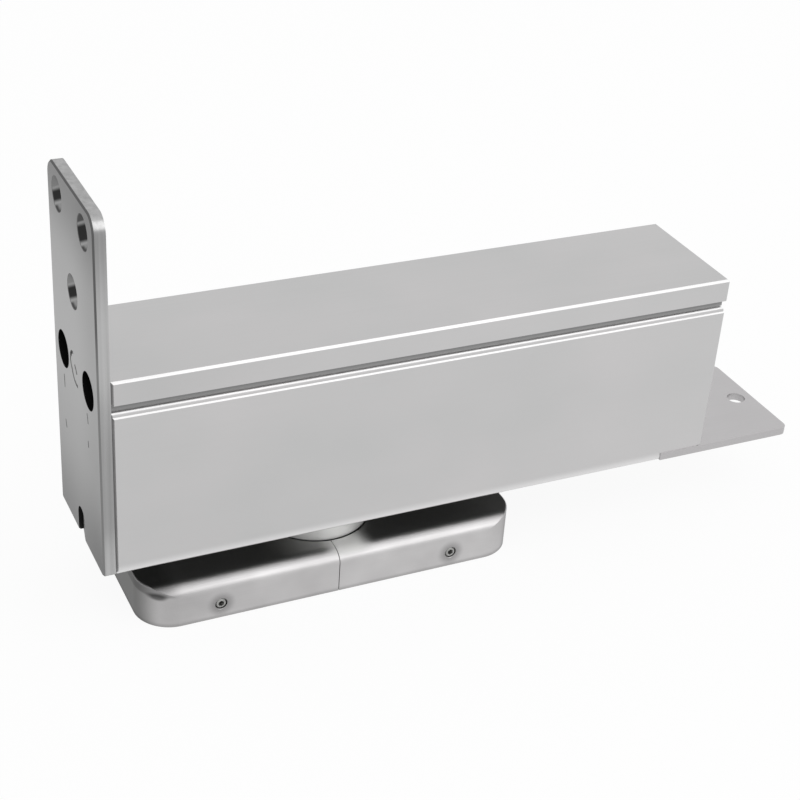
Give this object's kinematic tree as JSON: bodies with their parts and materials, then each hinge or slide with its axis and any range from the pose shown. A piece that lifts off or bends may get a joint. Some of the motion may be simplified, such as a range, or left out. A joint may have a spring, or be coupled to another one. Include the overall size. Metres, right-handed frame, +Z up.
{
  "type": "floor spring door closer",
  "caption": "Bottom-mounted hydraulic door closer: long case with a drilled end plate and rear tongue that swings on a spindle above a covered floor plate.",
  "frame": {"origin": "spindle axis at floor level, on the underside of the floor plate", "axes": "+X along the case away from the end plate, +Y towards the case's back, +Z up"},
  "size_m": [0.2095, 0.0446, 0.1173],
  "materials": {
    "satin_stainless": "fine brushed, satin",
    "plate_stainless": "brushed along its length",
    "cover_stainless": "satin, edges polished",
    "plain_steel": "zinc plated",
    "hardened_steel": "ground",
    "black_steel": "black oxide",
    "cast_block": "machined casting",
    "bronze": "sintered",
    "seal_rubber": "black nitrile"
  },
  "bodies": {
    "floor_unit": {"floor_plate": "plain_steel", "cover_half_left": "cover_stainless", "cover_half_right": "cover_stainless", "cover_grub_screws": "plain_steel", "spindle": "hardened_steel", "spindle_lock_screw": "black_steel", "thrust_washer_lower": "hardened_steel"},
    "closer": {"thrust_washer_upper": "hardened_steel", "bearing_collar": "satin_stainless", "spindle_seal": "seal_rubber", "lower_bush": "bronze", "upper_bush": "bronze", "top_plug": "plain_steel", "top_plug_ring": "seal_rubber", "case_trough": "satin_stainless", "case_lid": "satin_stainless", "lid_screws": "plain_steel", "end_plate": "plate_stainless", "rear_flange": "satin_stainless", "flange_screws": "plain_steel", "cylinder_block": "cast_block", "block_screws": "plain_steel", "passage_balls": "hardened_steel", "filler_screw": "black_steel", "left_end_plug": "plain_steel", "left_plug_ring": "seal_rubber", "right_end_plug": "plain_steel", "right_plug_ring": "seal_rubber", "tension_screw": "black_steel", "spring_seat": "plain_steel", "spring_left": "black_steel", "spring_right": "black_steel"},
    "ball_ring": {"thrust_balls": "hardened_steel", "ball_cage": "bronze"},
    "piston": {"rack_piston": "hardened_steel", "piston_seals": "seal_rubber", "check_valve_ball": "hardened_steel", "check_valve_ring": "plain_steel"},
    "sweep_valve": {"sweep_valve": "black_steel", "sweep_valve_ring": "seal_rubber"},
    "latch_valve": {"latch_valve": "black_steel", "latch_valve_ring": "seal_rubber"}
  },
  "joints": [
    {"name": "door_swing", "type": "hinge", "parent": "floor_unit", "child": "closer", "pos_m": [0, 0, 0.0185], "axis": [0, 0, 1], "range_deg": [-90, 90], "stiffness_Nm_per_rad": 10.35},
    {"name": "ball_ring_turn", "type": "hinge", "parent": "floor_unit", "child": "ball_ring", "pos_m": [0, 0, 0.0197], "axis": [0, 0, 1], "range_deg": [-45, 45]},
    {"name": "piston_slide", "type": "slide", "parent": "closer", "child": "piston", "axis": [1, 0, 0], "range_m": [-0.01179, 0.01179], "deforming": ["spring_left", "spring_right"]},
    {"name": "sweep_valve_turn", "type": "hinge", "parent": "closer", "child": "sweep_valve", "pos_m": [-0.0603, 0.011, 0.0684], "axis": [1, 0, 0], "range_deg": [-180, 180]},
    {"name": "latch_valve_turn", "type": "hinge", "parent": "closer", "child": "latch_valve", "pos_m": [-0.0603, -0.011, 0.0684], "axis": [1, 0, 0], "range_deg": [-180, 180]}
  ],
  "couplings": [
    {"joint": "piston_slide", "follows": "door_swing", "m_per_rad": 0.0075},
    {"joint": "ball_ring_turn", "follows": "door_swing", "ratio": 0.5}
  ]
}
